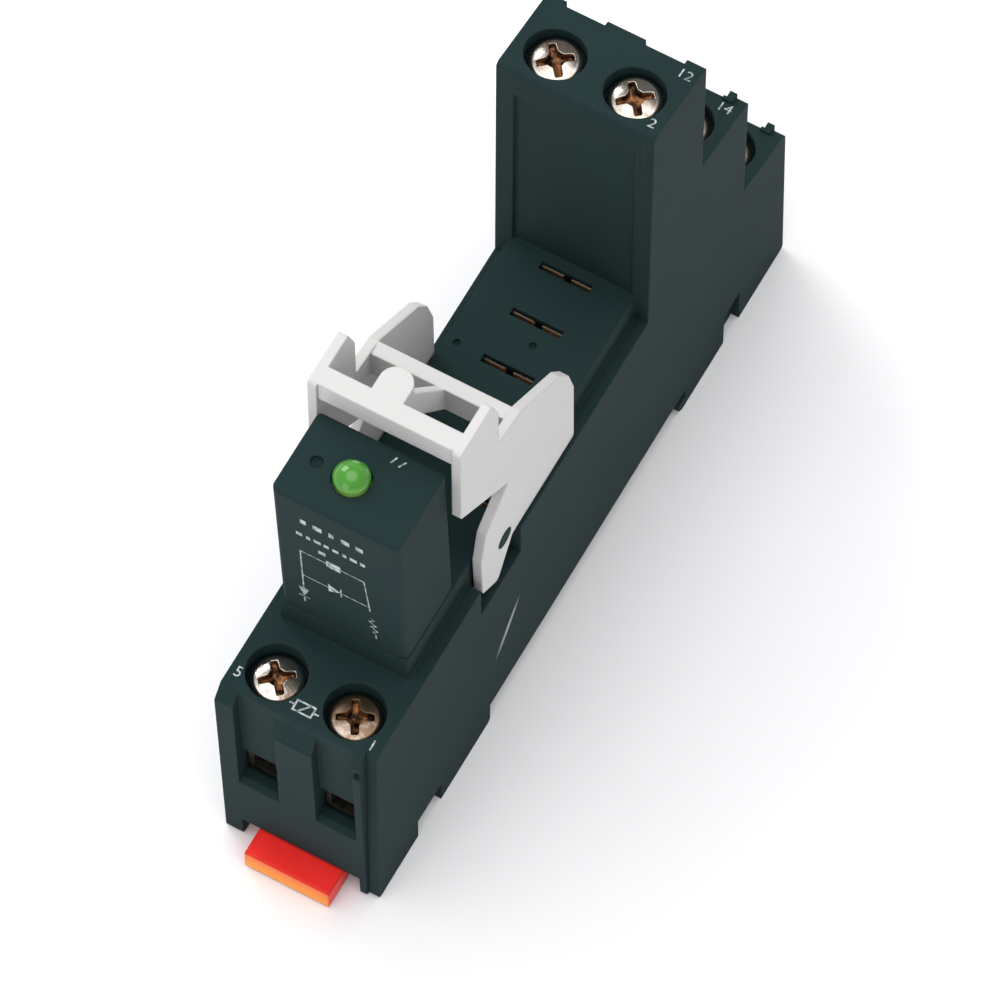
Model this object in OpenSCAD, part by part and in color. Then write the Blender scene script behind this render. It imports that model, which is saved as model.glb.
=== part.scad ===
// Rail-mounted relay socket with a stepped terminal tower, a plug-in lamp module and a retaining clip.
// X runs across the socket, Y from the near terminals to the tower, Z up from the feet. Millimetres.

/* [Housing] */
// Width over the housing and its side cover
body_w = 15.5; // [14.8:0.1:18]
// Length of the foot, from the near face to the far face
body_l = 76; // [75:0.5:84]
// Height of the shoulders that run along both sides
shoulder_h = 28.8; // [28:0.1:31]
// Height of the relay platform above the shoulders
platform_h = 3.4; // [2.6:0.1:4]
// Width of the shoulders beside the relay platform
shoulder_w = 1.45; // [1.35:0.05:1.6]
// Thickness of the side cover
cover_t = 1.1; // [0.8:0.05:1.2]
// How far the near face leans out at its top
nose_lean = 1; // [0.4:0.1:1.4]
// Height of the bevel above the leaning near face
nose_bevel = 1.5; // [1:0.1:2]
// Drop from the shoulders to the top of the rib between the near wire channels
rib_drop = 3.5; // [2.5:0.1:4.5]
// Diameter of the dimples in the platform
dimple_d = 0.7; // [0.5:0.1:1]
// Width of the notch beside the right wire channel
notch_w = 0.7; // [0.4:0.1:0.8]
// Height of the notch beside the right wire channel
notch_h = 1.6; // [1.2:0.1:2]
// How far the side cover's near edge stands back
cover_back = 0.3; // [0.1:0.05:0.6]
// How far the far face leans in at its top
far_lean = 0.8; // [0.2:0.1:1.2]
// Radius of the outer corners of the side outline
corner_r = 0.5; // [0.2:0.1:0.8]
// Diameter of the pegs that locate the side cover
peg_d = 1.6; // [1.2:0.1:2]
// Length of the pegs that locate the side cover
peg_l = 3.5; // [2.5:0.1:3.8]

/* [Terminal tower] */
// Length of the tower with its three tiers, up to the far end
tower_l = 26.8; // [26.6:0.1:28]
// Length of the upper tier
tier_1_l = 9.4; // [9.2:0.1:10]
// Length of the middle tier
tier_2_l = 8.6; // [8.4:0.1:9.2]
// Height of the upper tier at its inner edge
tier_1_h = 62; // [60:0.5:66]
// Height of the middle tier at its inner edge
tier_2_h = 42.6; // [42:0.1:44]
// Height of the lower tier at its inner edge
tier_3_h = 24.5; // [24:0.1:25]
// Fall of each tier's top towards the far end
tier_fall = 1.9; // [1:0.1:2.2]
// Depth of the panel in the tower's inner face
panel_depth = 0.3; // [0.2:0.05:0.4]
// Size of the lugs beside the tiers' wire entries
lug = 1; // [0.6:0.1:1.2]

/* [Terminals] */
// Distance from the socket's sides to the screws' axes
screw_side = 3.85; // [3.8:0.05:4]
// Distance from the near face's foot to the coil screws
coil_screw_y = 3.3; // [3.2:0.05:3.5]
// Distance from a tier's inner edge to its screws
screw_edge = 3.6; // [3.5:0.05:3.7]
// Diameter of a screw head
head_d = 4.9; // [4.4:0.1:5]
// Thickness of a screw head
head_t = 1.6; // [1.3:0.1:1.9]
// Depth of a screw head below the surface
head_sink = 0.8; // [0.4:0.1:1.2]
// Bevel round a screw head
head_bevel = 0.3; // [0.2:0.05:0.4]
// Width of the arms of a screw's cross recess
cross_w = 0.8; // [0.6:0.05:1]
// Depth of a screw's cross recess
cross_depth = 1.1; // [0.8:0.1:1.2]
// Angle of the cross recesses
cross_turn = 40; // [0:5:90]
// Diameter of a screw shank
shank_d = 2.9; // [2.5:0.1:3.1]
// Depth of a terminal's clamping plate below the surface
plate_drop = 13; // [12.6:0.1:13.4]
// Width of a wire entry
wire_w = 4.1; // [3.8:0.1:4.3]
// Height of a wire entry
wire_h = 4.6; // [4.2:0.1:4.8]
// Depth of the funnel round a wire entry
funnel_d = 1.2; // [0.8:0.1:1.5]
// Width of a wire cage
cage_w = 4.4; // [4.1:0.1:4.5]
// Length of a wire cage
cage_l = 3.8; // [3.6:0.05:4]
// Thickness of a wire cage's sides and floor
cage_wall = 0.7; // [0.6:0.05:0.8]
// Thickness of a wire cage's threaded top
cage_top = 1.2; // [1:0.1:1.5]
// Height of a wire cage's window
window_h = 3.4; // [3.2:0.1:3.6]
// Travel of a wire cage as its screw is tightened
cage_travel = 2.2; // [1.8:0.1:2.3]

/* [Contacts] */
// Distance from the tower to the first contact row
row_edge = 1.1; // [1:0.1:1.4]
// Distance between contact rows
row_pitch = 5.3; // [5:0.1:5.6]
// Distance from the near face to the coil contacts
coil_y = 25; // [24.6:0.1:26]
// Length of a contact slot
slot_l = 5.1; // [4.8:0.1:5.3]
// Width of a contact slot
slot_w = 0.8; // [0.7:0.05:1]
// Thickness of the contact strips
strip_t = 0.5; // [0.4:0.05:0.6]
// Width of a contact strip at its terminal
strip_w = 2.4; // [2:0.1:2.5]
// Gap between the two leaves that grip a blade
leaf_gap = 0.6; // [0.5:0.05:0.8]
// Thickness of a gripping leaf
leaf_t = 0.3; // [0.25:0.05:0.4]
// Height of the gripping leaves
leaf_h = 5; // [4:0.1:5.4]
// Gap that splits each leaf in two
leaf_split = 0.8; // [0.6:0.1:1.2]
// Play of a strip in its channel
strip_play = 0.15; // [0.1:0.01:0.2]
// Depth of the upper contact's level run below the leaves
upper_run = 0.6; // [0.6:0.05:0.8]
// Depth of the middle contact's level run below the leaves
middle_run = 6.4; // [6.2:0.1:6.8]
// Height of the lower contact's level run above the rail recess
lower_run = 5; // [4.8:0.1:5.4]
// Height of the coil strips' level run above the rail recess
coil_rise = 9.6; // [9.2:0.1:10]

/* [Rail foot] */
// Width of the rail
rail_w = 35; // [34.8:0.1:35.2]
// Play of the rail in the foot
rail_play = 0.4; // [0.2:0.1:0.8]
// Distance from the near face to the rail recess
recess_y = 20.6; // [20.2:0.1:21.5]
// Depth of the rail recess
recess_h = 3; // [2.6:0.1:3.2]
// Reach of the fixed hook under the rail
hook_l = 1.2; // [0.8:0.1:1.6]
// Thickness of the fixed hook
hook_t = 1.4; // [1:0.1:1.6]

/* [Rail latch] */
// Width of the latch's thumb piece
latch_w = 8.6; // [8:0.1:9]
// Thickness of the latch
latch_t = 2.4; // [2.2:0.1:2.5]
// Reach of the thumb piece out of the near face
latch_reach = 2.7; // [2.2:0.1:4]
// Length of the thumb piece inside the housing
thumb_in = 2.8; // [2.2:0.1:3.2]
// Reach of the latch's nose under the rail
latch_catch = 1.6; // [1.2:0.1:2]
// Travel of the latch
latch_travel = 2.2; // [1.8:0.1:2.4]
// Width of the latch's stem
stem_w = 5; // [4.4:0.1:5.4]
// Diameter of the latch spring
spring_d = 2.2; // [1.8:0.1:2.3]
// Wire diameter of the latch spring
spring_wire = 0.3; // [0.25:0.05:0.4]
// Turns of the latch spring
spring_turns = 6; // [4:1:8]

/* [Lamp module] */
// Distance from the near face to the module
module_y = 8.3; // [8.2:0.1:8.6]
// How far the module's sides stand in from the platform's
module_inset = 0.1; // [0.05:0.05:0.3]
// Length of the module
module_l = 8.5; // [8.2:0.1:8.6]
// Height of the module above the platform
module_h = 23; // [21:0.1:23.2]
// Radius of the edges of the module's case
case_r = 0.6; // [0.3:0.1:0.8]
// How far the module leans forward at its top
module_lean = 1.2; // [0.8:0.1:1.4]
// Wall of the module's case
case_wall = 0.9; // [0.7:0.05:1.1]
// Thickness of the module's base plate
base_t = 1.6; // [1.2:0.1:2]
// Gap between the case's top and the board
board_gap = 1.5; // [1.3:0.1:2]
// Thickness of the lamp's flange
flange_t = 1; // [0.8:0.05:1.2]
// Diameter of the lamp
lamp_d = 3.3; // [3:0.1:3.6]
// Height of the lamp above the case
lamp_h = 1.5; // [1:0.1:1.6]
// Offset of the lamp from the middle
lamp_x = -0.6; // [-1:0.1:1]
// Length of the module's blades below the platform
blade_l = 6; // [5:0.1:6.4]

/* [Retaining clip] */
// Distance from the near face to the clip's pivot
pivot_y = 23.6; // [23.4:0.05:23.8]
// Height of the pivot above the shoulders
pivot_h = 1.8; // [1.7:0.05:1.9]
// Length of the clip's legs below the pivot
leg_l = 6.1; // [5.6:0.1:6.3]
// Diameter of the pivot pins
pivot_d = 2.1; // [1.8:0.05:2.2]
// Thickness of the clip's side plates
clip_t = 0.9; // [0.7:0.05:1]
// Play between the clip and the platform
clip_play = 0.25; // [0.2:0.05:0.3]
// Height of the front bar's top above the pivot
bar_rise = 28.6; // [28.2:0.1:30]
// Distance of the front bar before the pivot
bar_front = 7.7; // [7.5:0.05:7.8]
// Length of the front bar along the socket
bar_l = 1.9; // [1.6:0.1:2.4]
// Height of the front bar
bar_h = 2.6; // [2:0.1:2.7]
// Height of the rear bar's top above the pivot
hook_rise = 19.3; // [18.8:0.1:20]
// Distance of the rear bar's back edge behind the pivot
hook_back = 2.7; // [2.4:0.1:3]
// Height of the rear bar
hook_h = 3.5; // [3:0.1:3.6]
// Length of the rear bar along the socket
hook_bar_l = 1.4; // [1.2:0.1:1.8]
// Distance of the wings' ends behind the pivot
wing_l = 12.5; // [11.5:0.1:12.8]
// Height of the wings' peaks above the pivot
wing_rise = 14.1; // [13:0.1:15]
// Width of the finger tab on the front bar
tab_w = 3.1; // [2.4:0.1:3.6]
// Length of the finger tab behind the front bar
tab_l = 3; // [2.4:0.1:3.4]

/* [Hidden] */
$fn = 48;
eps = 0.01;             // overlap of cuts past a face
seat = 0.05;            // play of pieces that rest on each other
run = 0.05;             // radial clearance of turning fits
side_play = 0.2;        // play round a cage in its chamber
well_play = 0.35;       // play round a screw head in its well
bore_play = 0.2;        // play round a screw shank in the housing
lamp_play = 0.2;        // play above the lamp's flange
cross_reach = 0.64;     // length of a cross recess over the head's diameter
black = "#23282a";
white = "#e4e3e1";
orange = "#ef5a32";
brass = "#c9a24e";
steel = "#b9b7b0";

mid_y = (body_l - latch_reach) / 2;
tower_y = body_l - tower_l;
platform_w = body_w - 2 * shoulder_w;
module_w = platform_w - 2 * module_inset;
screw_x = body_w / 2 - screw_side;
core_x = body_w / 2 - cover_t;
platform_z = shoulder_h + platform_h;
tier_y = [tower_y, tower_y + tier_1_l, tower_y + tier_1_l + tier_2_l];
tier_h = [tier_1_h, tier_2_h, tier_3_h];
tier_end = [tier_y[1], tier_y[2], body_l - far_lean];

// One record per terminal pair: screw axis, surface height there, face of the wire entry, and its direction.
function tier_top(n) =
    tier_h[n] - tier_fall * screw_edge / (tier_end[n] - tier_y[n]);
TERMINALS = concat(
    [[coil_screw_y, shoulder_h, -nose_lean, -1]],
    [for (n = [0:2]) [tier_y[n] + screw_edge, tier_top(n), tier_end[n], 1]]);
function plate_z(t) = t[1] - plate_drop;
function leg_y(t) = t[0] - t[3] * (cage_l / 2 + side_play + strip_t / 2);

chamber_top = cage_top + cage_travel + seat + side_play;
chamber_foot = window_h - seat + cage_wall + side_play;
head_seat = head_sink + head_t;
row_y = [for (n = [0:2]) tower_y - row_edge - n * row_pitch];
leaf_top = platform_z - slot_w;
leaf_foot = leaf_top - leaf_h;
leaf_depth = leaf_gap + 2 * leaf_t;
module_row = module_y + module_l / 2;
module_leaf_gap = leaf_gap + 0.4;
module_leaf_y = module_row - lean_at(-blade_l / 2);
pivot_z = shoulder_h + pivot_h;
plate_x = platform_w / 2 + clip_play;
leg_drop = leg_l - pivot_h;
rail_end = recess_y + rail_w + rail_play;
stem_l = recess_y + latch_catch;
stem_z = 0.3;
thumb_play = 1.7;       // room beside the latch's thumb piece
latch_groove = 0.8;
grip_depth = 0.8;
spring_y = 9.6;
spring_l = 5;
spring_gap = 0.1;       // play at each end of the latch spring

// Rounds the corners of an outline whose points are [y, z, radius].
function unit(v) = v / norm(v);
function turn(a, b, c) = (180 - acos(max(-1, min(1, unit(a - b) * unit(c - b)))));
function corner(a, b, c, r) =
    let (u = unit(a - b), w = unit(c - b), bend = turn(a, b, c),
        reach = r * tan(bend / 2),
        middle = b + unit(u + w) * (r / cos(bend / 2)),
        from = b + u * reach - middle,
        hand = sign(cross(b - a, c - b)),
        steps = max(2, ceil(bend / 18)))
    [for (k = [0:steps]) let (q = hand * bend * k / steps)
        middle + [from[0] * cos(q) - from[1] * sin(q), from[0] * sin(q) + from[1] * cos(q)]];
function point(p) = [p[0], p[1]];
function rounded(pts) =
    let (n = len(pts))
    [for (i = [0:n - 1]) let (a = point(pts[(i + n - 1) % n]), b = point(pts[i]), c = point(pts[(i + 1) % n]))
        each (pts[i][2] > 0 && turn(a, b, c) > 1 ? corner(a, b, c, pts[i][2]) : [b])];

// Puts the frame's origin under the middle of the whole part.
module from_middle() { translate([0, -mid_y, 0]) children(); }

// Extrudes an outline drawn in Y and Z from x0 to x1.
module across(x0, x1) { translate([x0, 0, 0]) rotate([90, 0, 90]) linear_extrude(x1 - x0) children(); }

// A strip that follows level and upright stretches between points [y, z].
module ribbon(pts, thick) {
    for (i = [0:len(pts) - 2]) {
        low = [min(pts[i][0], pts[i + 1][0]), min(pts[i][1], pts[i + 1][1])];
        high = [max(pts[i][0], pts[i + 1][0]), max(pts[i][1], pts[i + 1][1])];
        translate(low - [thick, thick] / 2) square(high - low + [thick, thick]);
    }
}

// ---- Side outline ----

module side_outline(near) {
    polygon(rounded(concat(
        near,
        [[tower_y, shoulder_h, 0], [tower_y, tier_1_h, corner_r],
            [tier_y[1], tier_1_h - tier_fall, corner_r], [tier_y[1], tier_2_h, 0],
            [tier_y[2], tier_2_h - tier_fall, corner_r], [tier_y[2], tier_3_h, 0],
            [body_l - far_lean, tier_3_h - tier_fall, 2 * corner_r], [body_l, 0, corner_r]],
        foot_points())));
}

// The foot from the far end back to the near end: the fixed hook, the rail recess and the latch end.
function foot_points() = [
    [rail_end + 0.6, 0, corner_r], [rail_end, 0.6, 0], [rail_end, hook_t, 0],
    [rail_end + hook_l, hook_t + 0.1, 0], [rail_end + hook_l, recess_h, 0],
    [recess_y, recess_h, 0], [recess_y, 0, corner_r]];

module housing_outline() {
    side_outline([[0, 0, corner_r], [-nose_lean, shoulder_h - nose_bevel, corner_r],
        [nose_lean / 5, shoulder_h, 0.2]]);
}

module cover_outline() {
    side_outline([[cover_back, 0, corner_r], [cover_back, shoulder_h, corner_r]]);
}

// ---- Cuts that the housing and the cover share ----

// Room in both shoulders for the clip's legs.
module leg_notches() {
    for (side = [-1, 1])
        translate([side * (platform_w / 2 + body_w / 2 + eps) / 2, pivot_y - 1.2, shoulder_h])
            cube([body_w / 2 - platform_w / 2 + eps, 7.2, 2 * (leg_drop + 0.4)], center = true);
}

// Finger grips pressed into the lower edge of both sides.
module edge_grips() {
    for (grip = [[9.5, 4.2, 3], [body_l - 10, 3, 5]], side = [-1, 1])
        translate([side * body_w / 2, grip[0], 0])
            cube([2 * grip_depth, grip[1], 2 * grip[2]], center = true);
}

// Wells for the screw heads, which the cover closes where they reach its inner face.
module screw_wells() {
    for (t = TERMINALS, side = [-1, 1])
        translate([side * screw_x, t[0], t[1] - head_seat])
            cylinder(d = head_d + 2 * well_play, h = head_seat + 3);
}

// ---- Housing ----

module terminal_room(t) {
    pz = plate_z(t);
    near_leg = cage_l / 2 + side_play + strip_t + strip_play;
    far_wall = cage_l / 2 + side_play;
    room_x = cage_w / 2 + side_play;
    for (side = [-1, 1]) translate([side * screw_x, t[0], 0]) {
        translate([0, 0, pz + chamber_top - 0.5])
            cylinder(d = shank_d + 2 * bore_play, h = plate_drop - chamber_top + 0.5 - head_sink);
        translate([-room_x, t[3] > 0 ? -near_leg : -far_wall, pz - chamber_foot])
            cube([2 * room_x, near_leg + far_wall, chamber_foot + chamber_top]);
    }
    for (side = [-1, 1]) across(side * screw_x - wire_w / 2, side * screw_x + wire_w / 2)
        wire_funnel(t, pz);
}

// The wire's way in: a tunnel to the cage and an open channel that rises to the top edge.
module wire_funnel(t, pz) {
    entry_z = pz + 0.6 - wire_h;
    back = t[2] - t[3] * funnel_d;
    rim = t[2] - t[3] * (t[3] < 0 ? nose_lean : funnel_d / 2);
    out = t[2] + t[3] * 2;
    start = t[0] + t[3] * cage_l / 4;
    polygon([[start, entry_z], [back, entry_z], [out, entry_z - 2], [out, t[1] + 4], [rim, t[1] + 4],
        [rim, t[1]], [back - t[3] * 0.4, entry_z + wire_h], [start, entry_z + wire_h]]);
}

module relay_slots() {
    for (y = row_y) {
        translate([0, y, platform_z - slot_w]) cube([slot_l, slot_w, 4], center = true);
        translate([0, y, leaf_foot + leaf_h / 2 - strip_t])
            cube([slot_l + 0.3, leaf_depth + 0.4, leaf_h + 2 * strip_t + 0.3], center = true);
    }
    for (side = [-1, 1]) translate([side * screw_x, 0, 0]) {
        translate([0, coil_y, platform_z - slot_w]) cube([strip_w, slot_w, 4], center = true);
        translate([0, coil_y, leaf_foot + leaf_h / 2 - strip_t])
            cube([strip_w + 0.3, leaf_depth + 0.4, leaf_h + 2 * strip_t + 0.3], center = true);
        translate([0, module_leaf_y, leaf_foot + leaf_h / 2 + 1])
            cube([strip_w + 0.3, module_leaf_gap + 2 * leaf_t + 0.5, leaf_h + 4 + strip_t], center = true);
    }
}

module strip_channels() {
    wide = screw_x + strip_w / 2 + strip_play;
    thick = strip_t + 2 * strip_play;
    for (n = [0:2]) across(-wide, wide) ribbon(contact_run(n), thick);
    for (side = [-1, 1])
        across(side * screw_x - strip_w / 2 - strip_play,
            side * screw_x + strip_w / 2 + strip_play) {
            ribbon(coil_run(), thick);
            ribbon(module_branch(), thick);
        }
}

// Room for the latch's thumb piece, stem and side ribs, longer than the stem by its travel.
module latch_channel() {
    channel_l = stem_l + latch_travel + nose_lean + 1;
    translate([0, -nose_lean - 1, 0]) {
        translate([-latch_w / 2 - thumb_play, 0, -1])
            cube([latch_w + 2 * thumb_play, nose_lean + 1 + thumb_in + 0.4, 1 + recess_h + 0.2]);
        translate([-stem_w / 2 - 0.2, 0, -1]) cube([stem_w + 0.4, channel_l, 1 + recess_h + 0.1]);
        translate([-stem_w / 2 - latch_groove - 0.2, 0, stem_z + latch_t / 2 - 0.6])
            cube([stem_w + 2 * latch_groove + 0.4, channel_l, 1.2]);
    }
}

module peg_places() {
    for (p = [[9, 7.5], [tower_y - 4.7, 14], [tier_y[2] - 3.7, 14], [tier_y[1] - 2.6, tier_2_h - 6]])
        translate([0, p[0], p[1]]) children();
}

// The rib between the near wire channels stops short of the top.
module rib_cut() {
    low = shoulder_h - rib_drop;
    across(-screw_x, screw_x) polygon([[-3, low], [-nose_lean * low / shoulder_h, low],
        [0, shoulder_h - 1.4], [0, shoulder_h + 1], [-3, shoulder_h + 1]]);
}

// A small notch at the top of the near wall beside the right wire channel.
module wall_notch() {
    from = screw_x + wire_w / 2;
    translate([from - eps, -2 * nose_lean, shoulder_h - rib_drop])
        cube([notch_w, 2 * nose_lean + notch_w / 2, notch_h]);
}

// Two small dimples between the contact slots, left by the mould's pins.
module platform_dimples() {
    for (p = [[1.1 - platform_w / 2, row_y[2] + 0.2], [0.8, (row_y[1] + row_y[2]) / 2 + 0.5]])
        translate([p[0], p[1], platform_z - dimple_d / 2]) cylinder(d = dimple_d, h = dimple_d);
}

// A shallow panel in the tower's inner face, between two side strips.
module tower_panel() {
    translate([-platform_w / 2 + 0.3, tower_y - 1, platform_z])
        cube([platform_w - 0.6, 1 + panel_depth, tier_1_h - platform_z - 4]);
}

module pivot_pins() {
    pin_l = clip_play + clip_t + seat;
    for (side = [-1, 1]) translate([side * (platform_w / 2 + pin_l / 2 - 0.25), pivot_y, pivot_z])
        rotate([0, 90, 0]) cylinder(d = pivot_d, h = pin_l + 0.5, center = true);
}

module housing() {
    color(black) from_middle() {
        moulding();
        pivot_pins();
    }
}

module moulding() {
    difference() {
        union() {
            across(-body_w / 2, core_x) housing_outline();
            translate([-platform_w / 2, module_y - 0.1, shoulder_h - 1])
                cube([platform_w, tower_y - module_y + 0.2, platform_h + 1]);
            for (n = [1, 2]) tier_lugs(n);
        }
        for (t = TERMINALS) terminal_room(t);
        screw_wells();
        relay_slots();
        strip_channels();
        latch_channel();
        leg_notches();
        edge_grips();
        peg_places() translate([core_x - peg_l - 0.5, 0, 0]) rotate([0, 90, 0])
            cylinder(d = peg_d + 2 * run, h = peg_l + 1.5);
        platform_dimples();
        rib_cut();
        wall_notch();
        tower_panel();
    }
}

// Small lugs at the far edge of a tier, beside its wire entries.
module tier_lugs(n) {
    for (side = [-1, 1]) translate([side * (core_x - lug / 2), tier_end[n] - lug / 2, tier_h[n] - tier_fall])
        cube(lug, center = true);
}

module side_cover() {
    color(black) from_middle() {
        difference() {
            across(core_x, body_w / 2) cover_outline();
            screw_wells();
            leg_notches();
            edge_grips();
        }
        peg_places() translate([core_x - peg_l, 0, 0]) rotate([0, 90, 0])
            cylinder(d = peg_d, h = peg_l + 0.1);
    }
}

// ---- Rail latch ----

module rail_latch() {
    color(orange) from_middle() difference() {
        union() {
            translate([-latch_w / 2, -latch_reach, stem_z]) cube([latch_w, latch_reach + thumb_in, latch_t]);
            translate([-stem_w / 2, 0, stem_z]) cube([stem_w, recess_y - 0.4, latch_t]);
            across(-stem_w / 2, stem_w / 2) latch_nose();
            translate([-stem_w / 2 - latch_groove, 4, stem_z + latch_t / 2 - 0.45])
                cube([stem_w + 2 * latch_groove, recess_y - 5, 0.9]);
        }
        translate([-spring_d / 2 - 0.2, spring_y, stem_z - 1])
            cube([spring_d + 0.4, spring_l + 2 * spring_gap, latch_t + 2]);
    }
}

// The nose slopes underneath, so that it rides over the rail's edge.
module latch_nose() {
    polygon([[recess_y - 1, stem_z], [stem_l - 1, stem_z], [stem_l, stem_z + 0.9], [stem_l, hook_t],
        [recess_y - 0.2, hook_t], [recess_y - 0.2, stem_z + latch_t], [recess_y - 1, stem_z + latch_t]]);
}

// A wire of six sides wound round the Y axis.
module latch_spring() {
    sides = 6;
    steps = 16 * spring_turns;
    coil_r = (spring_d - spring_wire) / 2;
    rings = [for (k = [0:steps], m = [0:sides - 1])
        let (q = 360 * k / 16, p = 360 * m / sides, r = coil_r + spring_wire / 2 * cos(p))
        [r * cos(q), (spring_l - spring_wire) * k / steps + spring_wire / 2 * (1 + sin(p)), r * sin(q)]];
    ends = [[for (m = [0:sides - 1]) m], [for (m = [0:sides - 1]) steps * sides + sides - 1 - m]];
    walls = [for (k = [0:steps - 1], m = [0:sides - 1]) let (a = k * sides, n = (m + 1) % sides)
        [a + m, a + sides + m, a + sides + n, a + n]];
    color(steel) from_middle() translate([0, spring_y + spring_gap, stem_z + latch_t / 2])
        polyhedron(points = rings, faces = concat(ends, walls));
}

// ---- Retaining clip ----

module clip_plate_outline() {
    rise = hook_rise;
    polygon(rounded([
        for (p = [
            [-bar_front - 0.2, bar_rise, 0.5], [-2.4, bar_rise, 0.4], [-1.3, bar_rise - 3, 0.3],
            [-1.2, rise + 0.5, 0.3], [hook_back, rise, 0.3], [wing_l - 2.8, wing_rise, 0.8],
            [wing_l - 1.2, wing_rise - 2.5, 0.5], [wing_l - 0.2, 8, 0.5], [wing_l, 0.3 - pivot_h, 0.3],
            [1.4, 0.3 - pivot_h, 0.5], [-1.2, -leg_l, 0.5], [-3.9, 2 - leg_l, 0.5],
            [-4.2, 2.2, 1], [-3.4, 6.3, 1], [0.6, 9.6, 0.2], [-bar_front - 0.1, rise - 2.4, 0.4]])
        [pivot_y + p[0], pivot_z + p[1], p[2]]]));
}

module retaining_clip() {
    bar_y = pivot_y - bar_front;
    color(white) from_middle() difference() {
        union() {
            for (inner = [plate_x, -plate_x - clip_t]) across(inner, inner + clip_t) clip_plate_outline();
            translate([-plate_x - eps, bar_y, pivot_z + bar_rise - bar_h])
                cube([2 * plate_x + 2 * eps, bar_l, bar_h]);
            translate([-plate_x - eps, pivot_y + hook_back - hook_bar_l, pivot_z + hook_rise - hook_h])
                cube([2 * plate_x + 2 * eps, hook_bar_l, hook_h]);
            finger_tab(bar_y);
        }
        translate([-body_w, pivot_y, pivot_z]) rotate([0, 90, 0])
            cylinder(d = pivot_d + 2 * run, h = 2 * body_w);
    }
}

// A round-ended tab behind the front bar, braced down to the rear bar.
module finger_tab(bar_y) {
    tab_x = -0.8;
    tab_t = 1.3;
    top = pivot_z + bar_rise;
    rear = pivot_y + hook_back - hook_bar_l;
    translate([tab_x, 0, top - tab_t]) {
        translate([-tab_w / 2, bar_y + bar_l - eps, 0]) cube([tab_w, tab_l - tab_w / 2 + eps, tab_t]);
        translate([0, bar_y + bar_l + tab_l - tab_w / 2, 0]) cylinder(d = tab_w, h = tab_t);
    }
    across(tab_x + tab_w / 2 - clip_t, tab_x + tab_w / 2) polygon([[bar_y + bar_l - eps, top - bar_h],
        [bar_y + bar_l - eps, top - 0.2], [bar_y + bar_l + 1.2, top - 0.2],
        [rear + eps, pivot_z + hook_rise], [rear + eps, pivot_z + hook_rise - hook_h]]);
}

// ---- Lamp module ----

// An outline that leans forward with the module, from height z0 to z1 above the platform.
module leaning(y0, y1, z0, z1) {
    polygon([[y0 - lean_at(z0), platform_z + z0], [y1 - lean_at(z0), platform_z + z0],
        [y1 - lean_at(z1), platform_z + z1], [y0 - lean_at(z1), platform_z + z1]]);
}
function lean_at(z) = module_lean * z / module_h;

module module_case() {
    inner = module_w / 2 - case_wall;
    color(black) from_middle() difference() {
        case_block();
        across(-inner, inner)
            leaning(module_y + case_wall, module_y + module_l - case_wall, seat - 1, module_h - case_wall);
        lamp_axis() cylinder(d = lamp_d + 1.5 * lamp_play, h = 4, center = true);
        translate([lamp_x - 3.4, lamp_place(), platform_z + module_h - 0.4]) cylinder(d = 1.2, h = 1);
    }
}

// The case's outside: an outline with round top edges, and upright edges rounded along the lean.
module case_block() {
    lean = atan(module_lean / module_h);
    side_r = case_r - 0.1;
    half = module_w / 2;
    intersection() {
        across(-half, half) polygon(rounded([[module_y, platform_z + seat, 0],
            [module_y + module_l, platform_z + seat, 0],
            [module_y + module_l - module_lean, platform_z + module_h, side_r],
            [module_y - module_lean, platform_z + module_h, side_r]]));
        translate([0, module_y, platform_z]) rotate([lean, 0, 0]) translate([0, 0, -1])
            linear_extrude(module_h + 2) polygon(rounded([[-half, 0, case_r], [half, 0, case_r],
                [half, module_l * cos(lean), case_r], [-half, module_l * cos(lean), case_r]]));
    }
}

function lamp_place() = module_y + module_l / 2 - module_lean - 0.15;
module lamp_axis() { translate([lamp_x, lamp_place(), platform_z + module_h]) children(); }

module module_base() {
    inner = module_w / 2 - case_wall - seat;
    color(black) from_middle() difference() {
        across(-inner, inner)
            leaning(module_y + case_wall + seat, module_y + module_l - case_wall - seat, seat, base_t);
        for (side = [-1, 1]) across(side * screw_x - strip_w / 2, side * screw_x + strip_w / 2)
            leaning(module_row - strip_t / 2, module_row + strip_t / 2, -1, base_t + 1);
    }
}

module module_board() {
    half = module_w / 2 - case_wall - 0.4;
    front = module_row + strip_t / 2;
    color("#2f6b45") from_middle() across(-half, half)
        leaning(front, front + 1, base_t, module_h - case_wall - board_gap);
}

module module_lamp() {
    flange = -case_wall - flange_t - lamp_play;
    lead = 0.45;
    lead_y = module_row + strip_t / 2 - seat;
    color("#58c33a") from_middle() {
        lamp_axis() {
            translate([0, 0, flange]) cylinder(d = lamp_d + 0.6, h = flange_t);
            translate([0, 0, flange + flange_t / 2])
                cylinder(d = lamp_d, h = lamp_h / 3 - flange - flange_t / 2);
            translate([0, 0, lamp_h / 3]) intersection() {
                translate([0, 0, lamp_h * 2 / 3 - lamp_cap()]) sphere(r = lamp_cap());
                cylinder(d = lamp_d, h = lamp_h);
            }
        }
        for (x = [-0.7, 0.7]) across(lamp_x + x - lead / 2, lamp_x + x + lead / 2)
            leaning(lead_y - lead, lead_y, module_h + flange - 3, module_h + flange + 0.2);
    }
}

// Radius of the dome whose rim is the lamp's side and whose height is two thirds of what shows.
function lamp_cap() = (pow(lamp_d / 2, 2) + pow(lamp_h * 2 / 3, 2)) / (2 * lamp_h * 2 / 3);

module module_blade(side) {
    x = side * screw_x;
    color(brass) from_middle() across(x - strip_w / 2 + seat, x + strip_w / 2 - seat)
        leaning(module_row - strip_t / 2 + seat, module_row + strip_t / 2 - seat, -blade_l, base_t + 3);
}

// ---- Contact strips ----

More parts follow.
